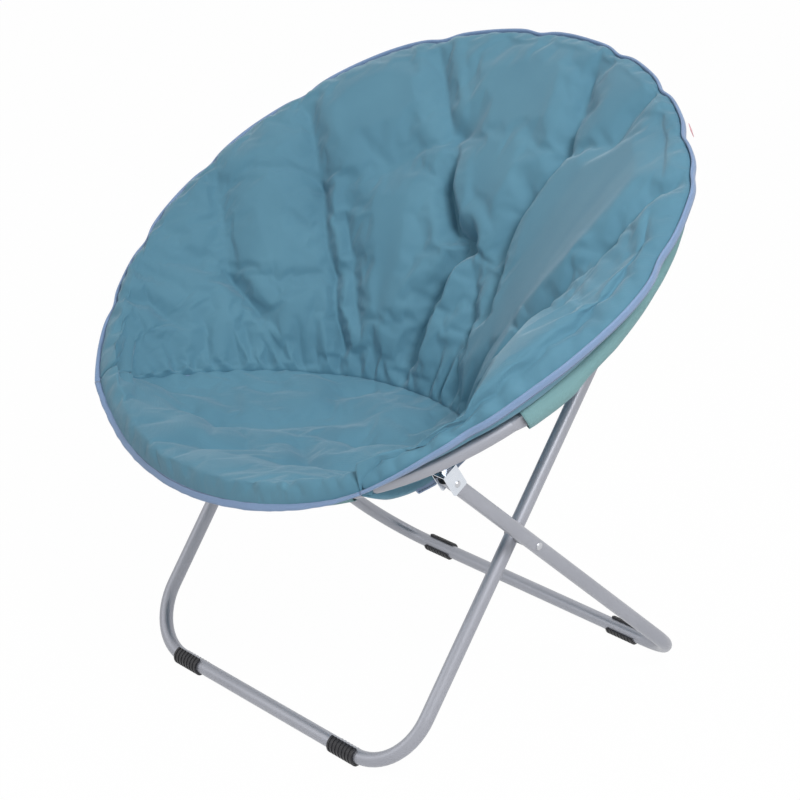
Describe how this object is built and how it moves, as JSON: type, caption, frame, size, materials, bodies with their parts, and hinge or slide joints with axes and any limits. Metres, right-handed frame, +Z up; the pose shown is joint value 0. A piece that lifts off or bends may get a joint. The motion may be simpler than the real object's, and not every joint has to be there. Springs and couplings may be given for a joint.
{
  "type": "folding saucer chair",
  "caption": "Folding saucer chair: padded round bowl seat on a hinged tube ring, carried by crossed U-shaped tube legs.",
  "frame": {"origin": "on the floor, under the middle of the chair", "axes": "+X to the right of someone seated, -Y towards the front, +Z up"},
  "size_m": [0.83, 0.6947, 0.8072],
  "materials": {
    "painted_tube": "satin silver-grey powder coat",
    "black_plastic": "matte",
    "spacer_plastic": "matte",
    "rivet_steel": "bright",
    "zinc_steel": "bright zinc plate",
    "panel_fabric": "soft brushed weave",
    "sleeve_fabric": "plain weave",
    "piping_fabric": "smooth bound edge",
    "binding_fabric": "plain tape",
    "tag_fabric": "smooth tape"
  },
  "bodies": {
    "inner_leg": {"inner_leg_tube": "painted_tube", "inner_leg_plug_left": "black_plastic", "inner_leg_plug_right": "black_plastic", "front_foot_clip_left": "black_plastic", "front_foot_clip_right": "black_plastic", "cross_rivet_shank_left": "rivet_steel", "cross_rivet_shank_right": "rivet_steel", "cross_spacer_left": "spacer_plastic", "cross_spacer_right": "spacer_plastic"},
    "ring_back": {"ring_back_tube": "painted_tube", "rear_bracket_left": "zinc_steel", "rear_bracket_right": "zinc_steel", "rear_bracket_rivet_left": "rivet_steel", "rear_bracket_rivet_right": "rivet_steel", "ring_hinge_rivet_left": "rivet_steel", "ring_hinge_rivet_right": "rivet_steel", "back_sleeve": "sleeve_fabric", "back_pad": "panel_fabric", "back_piping": "piping_fabric", "side_tag": "tag_fabric"},
    "ring_front": {"ring_front_tube": "painted_tube", "front_bracket_left": "zinc_steel", "front_bracket_right": "zinc_steel", "front_bracket_rivet_left": "rivet_steel", "front_bracket_rivet_right": "rivet_steel", "front_sleeve": "sleeve_fabric", "seat_pad": "panel_fabric", "front_piping": "piping_fabric", "crease_binding": "binding_fabric"},
    "outer_leg": {"outer_leg_tube": "painted_tube", "outer_leg_plug_left": "black_plastic", "outer_leg_plug_right": "black_plastic", "rear_foot_clip_left": "black_plastic", "rear_foot_clip_right": "black_plastic", "cross_rivet_head_left": "rivet_steel", "cross_rivet_head_right": "rivet_steel"}
  },
  "joints": [
    {"name": "back_bracket_pivot", "type": "hinge", "parent": "inner_leg", "child": "ring_back", "pos_m": [0, 0.25904, 0.68179], "axis": [1, 0, 0], "range_deg": [0, 36.06]},
    {"name": "ring_fold", "type": "hinge", "parent": "ring_back", "child": "ring_front", "pos_m": [0, -0.09437, 0.50623], "axis": [-1, 0, 0], "range_deg": [0, 160], "deforming": ["back_pad", "seat_pad", "back_piping", "front_piping", "crease_binding", "back_sleeve"]},
    {"name": "front_bracket_pivot", "type": "hinge", "parent": "ring_front", "child": "outer_leg", "pos_m": [0, -0.17275, 0.40667], "axis": [1, 0, 0], "range_deg": [0, 53.56]}
  ],
  "couplings": [
    {"joint": "back_bracket_pivot", "follows": "ring_fold", "ratio": 0.22529},
    {"joint": "front_bracket_pivot", "follows": "ring_fold", "ratio": 0.3347}
  ]
}
